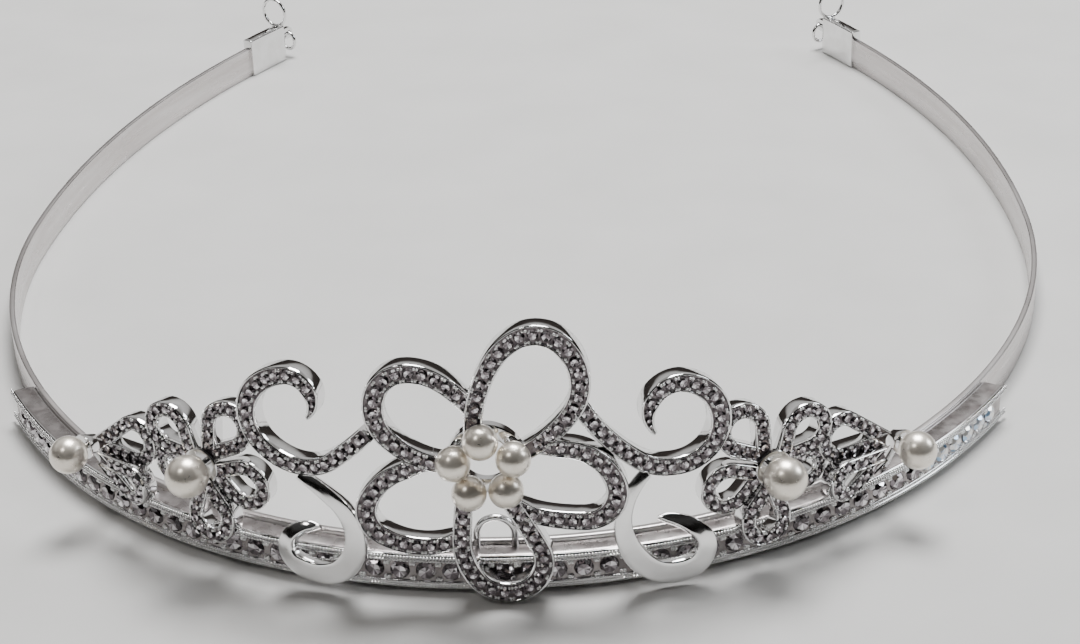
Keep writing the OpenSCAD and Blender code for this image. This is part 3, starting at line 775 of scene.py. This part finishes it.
place = rail_place(0, FACE_OUT)
ring_outline = ((-0.8, -0.4), (-0.6, -0.5), (0.6, -0.5), (0.8, -0.4), (0.8, 0.45), (0.6, 0.6), (-0.6, 0.6),
                (-0.8, 0.45))
cups = [spun_ring(*PEARL_RING_MID, [(PEARL_RING_R + q, 1.4 + y) for q, y in ring_outline], 72)]
for number in range(5):
    angle = math.radians(PEARL_PHASE + 72 * number)
    x = PEARL_RING_MID[0] + PEARL_RING_R * math.cos(angle)
    z = PEARL_RING_MID[1] + PEARL_RING_R * math.sin(angle)
    # a shallow cup with a thin lip, spun round the peg
    cup = spun_ring(x, z, ((0.05, 0.9), (0.05, 0.45), (0.9, 0.32), (1.3, 0.0), (1.42, 0.0), (1.42, 0.12),
                           (1.1, 0.55), (0.9, 0.9)), 28)
    cups += [cup, cylinder_y(x, z, -PEARL_OUT, 1.2, 0.35, 20)]
    ball = pearl_ball(x, z, PEARL_OUT, 1.9)
    ball.data.transform(place)
    hand_in(ball, "middle_pearl_%d" % (number + 1), ["centre_pearl_%d" % (number + 1)], [lustre])
seat = join_all(cups)
seal(seat, 45)
seat.data.transform(place)
hand_in(seat, "pearl_cups", ["pearl_seat"], [plate])

# ---------------------------------------------------------------------------
# Scrolls. A cast C-scroll on each side of the large flower, set like the
# petals, with a pointed curl and its tail soldered to the nearest petal.
# ---------------------------------------------------------------------------
SCROLL_AT = 24.0
SCROLL_W = ((0, 0.5), (0.1, 1.9), (0.35, 2.4), (0.7, 2.1), (1, 1.9))
SCROLLS = {
    "left": ((-7.5, 22.5, 135), ((7, -145), (5.5, -50), (7, -80), (9, -80), (5.3, -5))),
    "right": ((-5, 20, 130), ((8.5, -145), (7.5, -80), (6.5, -80), (5.5, -45), (9.6, -21)))}

tip_stone = stone_master(0.36, 0.26, 0.05)
for word, (start, legs) in SCROLLS.items():
    side = -1 if word == "left" else 1
    place = on_side(side, rail_place(rail_turn(SCROLL_AT), FACE_OUT))
    scroll, shares = sweep_band(start, legs, section, SCROLL_W, sink=(0.0, 1.2))
    paint_channel(scroll, section)
    seal(scroll, 38)
    set_down(scroll, place)
    hand_in(scroll, word + "_scroll_band", [word + "_scroll"], [plate, dark_seat])
    stones, grains = stone_row(start, legs, 3.9, 0.9, PAVE_PITCH, 0.16, 0.62, sink=(0.0, 1.2))
    row = set_copies(pave_stone, [place @ spot for spot in stones], word + "_scroll_row")
    # smaller stones run on into the point
    tips = []
    for distance, size in ((2.75, 1.15), (1.85, 0.85), (1.1, 0.6)):
        x, z, heading = at_distance(start, legs, distance)
        tips.append(place @ Matrix.Translation((x, 0.1, z)) @ tilt() @ spun(size))
    row = join_all([row, set_copies(tip_stone, tips, "tips")])
    hand_in(row, word + "_scroll_row", [word + "_scroll_stones"], [crystal])
    dots = set_copies(grain, [place @ spot for spot in grains], word + "_scroll_grains")
    hand_in(dots, word + "_scroll_grains", [], [grain_plate_painted_highlight])
bpy.data.objects.remove(tip_stone, do_unlink=True)

# ---------------------------------------------------------------------------
# Hooks. A plain polished crook under each scroll. Its broad flat face narrows
# into a tip that is twisted over and bent back to the rail's top edge.
# ---------------------------------------------------------------------------
HOOK_AT = {"left": 18.8, "right": 18.2}
HOOK_OUT, HOOK_T = 2.6, 1.3
HOOK_W = ((0, 1.3), (0.2, 1.8), (0.4, 2.6), (0.6, 2.75), (0.75, 2.3), (0.9, 1.6), (0.97, 1.0), (1, 0.3))
HOOKS = {
    "left": ((-0.5, 15.2, 211), ((4.9, 9), (7.5, 75), (8.3, 103), (4.3, 106), (2.8, 50))),
    "right": ((0.1, 15.3, 225), ((2.9, 15), (10.5, 80), (5.2, 62), (5.2, 112), (4.8, 48)))}

hook_half = [(0.5, 0.0), (0.86, 0.015), (0.95, 0.06), (1.0, 0.16), (1.0, HOOK_T - 0.2), (0.95, HOOK_T - 0.06),
             (0.86, HOOK_T)]
hook_section = hook_half + [(-q, y) for q, y in reversed(hook_half)]

mirror_plate, nodes, links, shader = metal("smooth_polished_plate", ((300, 2), (900, 3)), (0.85, 0.845, 0.84),
                                           (0.93, 0.93, 0.925), 0.10, 0.17)
bump(nodes, links, noise(nodes, links, 420, 2), shader, 0.15, 0.00006)


def rod(foot, head, radius):
    """A round strut between two points."""
    foot, head = Vector(foot), Vector(head)
    bpy.ops.object.select_all(action="DESELECT")
    bpy.ops.mesh.primitive_cylinder_add(vertices=20, radius=radius, depth=(head - foot).length,
                                        location=(head + foot) / 2,
                                        rotation=(head - foot).to_track_quat("Z", "Y").to_euler())
    bpy.ops.object.transform_apply(location=True, rotation=True, scale=True)
    return bpy.context.object


for word, (start, legs) in HOOKS.items():
    side = -1 if word == "left" else 1
    place = on_side(side, rail_place(rail_turn(HOOK_AT[word]), HOOK_OUT))
    hook, shares = sweep_band(start, legs, hook_section, HOOK_W, 0.3)
    total = sum(leg[0] for leg in legs)
    count = len(hook_section)
    # both ends lean over about their own line, and the tip bends back a little as well
    for ring, share in enumerate(shares):
        past = max(0.0, (share - 0.7) / 0.3)
        early = max(0.0, 1 - share / 0.3)
        if past > 0 or early > 0:
            x, z, heading = at_distance(start, legs, share * total)
            angle = math.radians(heading)
            centre = Vector((x, HOOK_T / 2, z))
            lean = Matrix.Rotation(math.radians(48 * past + 36 * early), 4,
                                   Vector((math.cos(angle), 0, math.sin(angle))))
            turn = (Matrix.Translation((0, 1.3 * past * past, -0.3 * past)) @ Matrix.Translation(centre)
                    @ lean @ Matrix.Translation(-centre))
            for corner in hook.data.vertices[ring * count:ring * count + count]:
                corner.co = turn @ corner.co
    # a stud behind the bend, where the hook first dips below the rail's top, is soldered to the rail
    step = 0
    while at_distance(start, legs, step * 0.1)[1] >= RAIL_HIGH - 0.4:
        step += 1
    x, z, heading = at_distance(start, legs, step * 0.1)
    hook = join_all([hook, cylinder_y(x, z, HOOK_T - 0.2, HOOK_OUT + 0.2, 0.4, 20)])
    seal(hook, 40)
    set_down(hook, place)
    hand_in(hook, word + "_crook", [word + "_hook"], [mirror_plate])

# ---------------------------------------------------------------------------
# Small flowers. Five narrow open loops cast round a cup, set with small
# stones, with one large pearl in the middle; two struts stand on the rail.
# ---------------------------------------------------------------------------
FLOWER_AT = {"left": 30.5, "right": 32.5}
FLOWER_Z = {"left": 13.6, "right": 12.6}
# direction, length, half the width, and how far each loop leans forward, in degrees
FLOWER_PETALS = ((57, 9.1, 3.15, 9), (139, 8.7, 3.15, 2), (200, 8.0, 2.8, 12), (-78, 9.2, 3.1, -7),
                 (-14, 8.7, 3.1, 4))
SMALL_BAND = 1.75


def drop_line(root, direction, length, half_width, inset, skip):
    """Start and legs of the line round a drop-shaped loop, moved in by inset."""
    half = math.asin(half_width / (length - half_width))
    tip = inset / math.sin(half)
    straight = (length - half_width - tip) * math.cos(half) - skip
    round_end = half_width - inset
    angle, off = math.radians(direction), math.radians(direction) - half
    start = (root[0] + tip * math.cos(angle) + skip * math.cos(off),
             root[1] + tip * math.sin(angle) + skip * math.sin(off), math.degrees(off))
    sweep = math.pi + 2 * half
    return start, ((straight, 0), (round_end * sweep, math.degrees(sweep)), (straight, 0))


def set_loop(root, direction, length, half_width, section, lean):
    """One open loop with its stones and grains, leaned back or forward at its end."""
    start, legs = drop_line(root, direction, length, half_width, SMALL_BAND / 2, 0.25)
    band, shares = sweep_band(start, legs, section, ((0, SMALL_BAND), (1, SMALL_BAND)), 0.4)
    half = math.asin(half_width / (length - half_width))
    start, legs = drop_line(root, direction, length, half_width, SMALL_BAND / 2, 0.6 / math.sin(half))
    stones, grains = stone_row(start, legs, 0.0, 0.0, 1.3, 0.15, 0.58, 0.1)
    angle = math.radians(direction)
    axis = Vector((-math.sin(angle), 0, math.cos(angle)))
    tip_over = (Matrix.Translation((root[0], 1.0, root[1])) @ Matrix.Rotation(math.radians(lean), 4, axis)
                @ Matrix.Translation((-root[0], -1.0, -root[1])))
    return band, [tip_over @ spot for spot in stones], [tip_over @ spot for spot in grains], tip_over


small_stone = stone_master(0.58, 0.32, 0.08)
small_grain = bead_master(0.145)
small_section = channel_section(PLATE_T, 0.2, 0.3)


def set_ornament(root, petals, extras, pearl, place, names):
    """Open loops from one root with their stones, grains, extra parts and pearl."""
    bands, stones, grains = [], [], []
    for direction, length, half_width, forward in petals:
        band, more_stones, more_grains, lean = set_loop(root, 180 - direction, length, half_width,
                                                        small_section, forward)
        paint_channel(band, small_section)
        seal(band, 38)
        band.data.transform(lean)
        bands.append(band)
        stones += more_stones
        grains += more_grains
    for extra in extras():
        seal(extra, 40)
        extra.data.materials.append(plate)
        bands.append(extra)
    metalwork = join_all(bands)
    set_down(metalwork, place)
    name, node, ball_name, ball_node = names
    hand_in(metalwork, name, [node], [plate, dark_seat])
    row = set_copies(small_stone, [place @ spot for spot in stones], name + "_row")
    hand_in(row, name + "_row", [node + "_stones"], [crystal])
    dots = set_copies(small_grain, [place @ spot for spot in grains], name + "_grains")
    hand_in(dots, name + "_grains", [], [grain_plate_painted_highlight])
    ball = pearl_ball(*pearl)
    set_down(ball, place)
    hand_in(ball, ball_name, [ball_node], [lustre])


for word, z in FLOWER_Z.items():
    side = -1 if word == "left" else 1
    place = on_side(side, rail_place(rail_turn(FLOWER_AT[word]), FACE_OUT))

    def stem():
        """The cup in the middle, the pearl's peg and the two struts."""
        cup = spun_ring(0, z, ((0.05, 1.9), (0.05, 0.5), (1.2, 0.42), (1.9, 0.05), (2.1, 0.02), (2.2, 0.16),
                               (2.05, 0.8), (1.4, 1.9)), 40)
        return [cup, cylinder_y(0, z, -2.2, 1.0, 0.35, 20),
                rod((-1.7, 3.6, RAIL_HIGH - 0.1), (-1.7, 1.5, z - 7.6), 0.45),
                rod((0, 3.8, RAIL_HIGH - 0.1), (0, 1.6, z - 1.2), 0.4)]

    set_ornament((0, z), FLOWER_PETALS, stem, (0, z, 2.43, 2.4), place,
                 (word + "_small_flower", word + "_flower", word + "_small_flower_pearl",
                  word + "_flower_pearl"))

# ---------------------------------------------------------------------------
# End leaves. Two slender set loops that leave a cup with the last pearl, held
# on the rail's top edge by two struts.
# ---------------------------------------------------------------------------
LEAF_AT, LEAF_OUT = 44.0, 2.0
LEAF_PEARL = {"left": (5.3, 9.9), "right": (6.4, 9.8)}
LEAF_PETALS = ((20, 13.0, 3.1, 4), (-9, 12.2, 2.5, -5))

for word, (root, z) in LEAF_PEARL.items():
    side = -1 if word == "left" else 1
    place = on_side(side, rail_place(rail_turn(LEAF_AT), LEAF_OUT))

    def stem():
        """The cup of the last pearl, its peg and the two struts."""
        cup = spun_ring(root, z, ((0.05, 1.8), (0.05, 0.4), (0.9, 0.3), (1.35, 0.02), (1.5, 0.02), (1.5, 0.2),
                                  (1.3, 0.8), (0.9, 1.8)), 32)
        return [cup, cylinder_y(root, z, -2.0, 0.9, 0.35, 20),
                rod((root, 3.4, RAIL_HIGH - 0.1), (root, 1.0, z), 0.45),
                rod((-2.4, 3.4, RAIL_HIGH - 0.1), (-2.4, 1.4, 7.4), 0.45)]

    set_ornament((root + 0.6, z), LEAF_PETALS, stem, (root, z, 2.23, 2.2), place,
                 (word + "_end_leaf", word + "_leaf", word + "_last_pearl", word + "_end_pearl"))
for master in (pave_stone, grain, small_stone, small_grain):
    bpy.data.objects.remove(master, do_unlink=True)

# ---------------------------------------------------------------------------
# Table, light and camera. The tiara lies on a plain pale table under a broad
# soft light from above, with a darker room behind the viewer.
# ---------------------------------------------------------------------------
bpy.ops.object.select_all(action="DESELECT")
bpy.ops.mesh.primitive_plane_add(size=3.0, location=(0, 0.3, 0))
table = bpy.context.object
table.name = "table_top"
paper, nodes, links, shader = new_finish("pale_table")
links.new(ramp(nodes, links, noise(nodes, links, 60, 4), (0.605, 0.60, 0.588), (0.645, 0.64, 0.628)),
          shader.inputs["Base Color"])
shader.inputs["Roughness"].default_value = 0.8
bump(nodes, links, noise(nodes, links, 900, 3), shader, 0.08, 0.0001)
table.data.materials.append(paper)

world = bpy.data.worlds.new("soft_room")
bpy.context.scene.world = world
world.use_nodes = True
nodes, links = world.node_tree.nodes, world.node_tree.links
room = nodes["Background"]
direction = nodes.new("ShaderNodeTexCoord")
split = nodes.new("ShaderNodeSeparateXYZ")
links.new(direction.outputs["Generated"], split.inputs["Vector"])
# a dark skirting runs round the room under pale walls, and the ceiling is dimmer
walls = ramp(nodes, links, split.outputs["Z"], (0.03, 0.026, 0.024), (0.30, 0.29, 0.28), 0.0, 1.0,
             ((0.31, (0.045, 0.038, 0.035)), (0.42, (0.50, 0.49, 0.48)), (0.60, (0.66, 0.655, 0.65)),
              (0.80, (0.32, 0.31, 0.30))))
links.new(walls, room.inputs["Color"])
# the side behind the viewer is in shade
facing = nodes.new("ShaderNodeMapRange")
facing.inputs["From Min"].default_value = -0.25
facing.inputs["From Max"].default_value = 0.2
facing.inputs["To Min"].default_value = 0.06
facing.inputs["To Max"].default_value = 1.0
links.new(split.outputs["Y"], facing.inputs["Value"])
links.new(facing.outputs["Result"], room.inputs["Strength"])


def soft_light(name, place, aim, size, power, colour=(1, 1, 1)):
    """A square soft box at place, turned to aim."""
    light = bpy.data.lights.new(name, "AREA")
    light.size = size
    light.energy = power
    light.color = colour
    lamp = bpy.data.objects.new(name, light)
    lamp.location = place
    lamp.rotation_euler = (Vector(aim) - Vector(place)).to_track_quat("-Z", "Y").to_euler()
    bpy.context.collection.objects.link(lamp)


soft_light("overhead", (0.05, 0.22, 0.8), (0, -0.02, 0), 0.4, 12.0)
soft_light("window", (0.7, 0.1, 0.45), (0, -0.05, 0.01), 0.25, 1.8, (0.9, 0.95, 1.0))
soft_light("lamp", (-0.35, -0.45, 0.75), (0, -0.05, 0.01), 0.12, 0.9, (1.0, 0.97, 0.94))

lens = bpy.data.cameras.new("camera")
lens.sensor_width = 36.0
lens.lens = 71.69
camera = bpy.data.objects.new("camera", lens)
yaw, pitch, roll = math.radians(-4.0), math.radians(27.12), math.radians(-2.2)
forward = Vector((math.sin(yaw) * math.cos(pitch), math.cos(yaw) * math.cos(pitch), -math.sin(pitch)))
right = Vector((math.cos(yaw), -math.sin(yaw), 0))
up = right.cross(forward)
right, up = right * math.cos(roll) + up * math.sin(roll), up * math.cos(roll) - right * math.sin(roll)
turned = Matrix((right, up, -forward)).transposed().to_4x4()
camera.matrix_world = Matrix.Translation((0.0215, -0.19554 - MID_Y * MM, 0.13391)) @ turned
bpy.context.collection.objects.link(camera)
bpy.context.scene.camera = camera
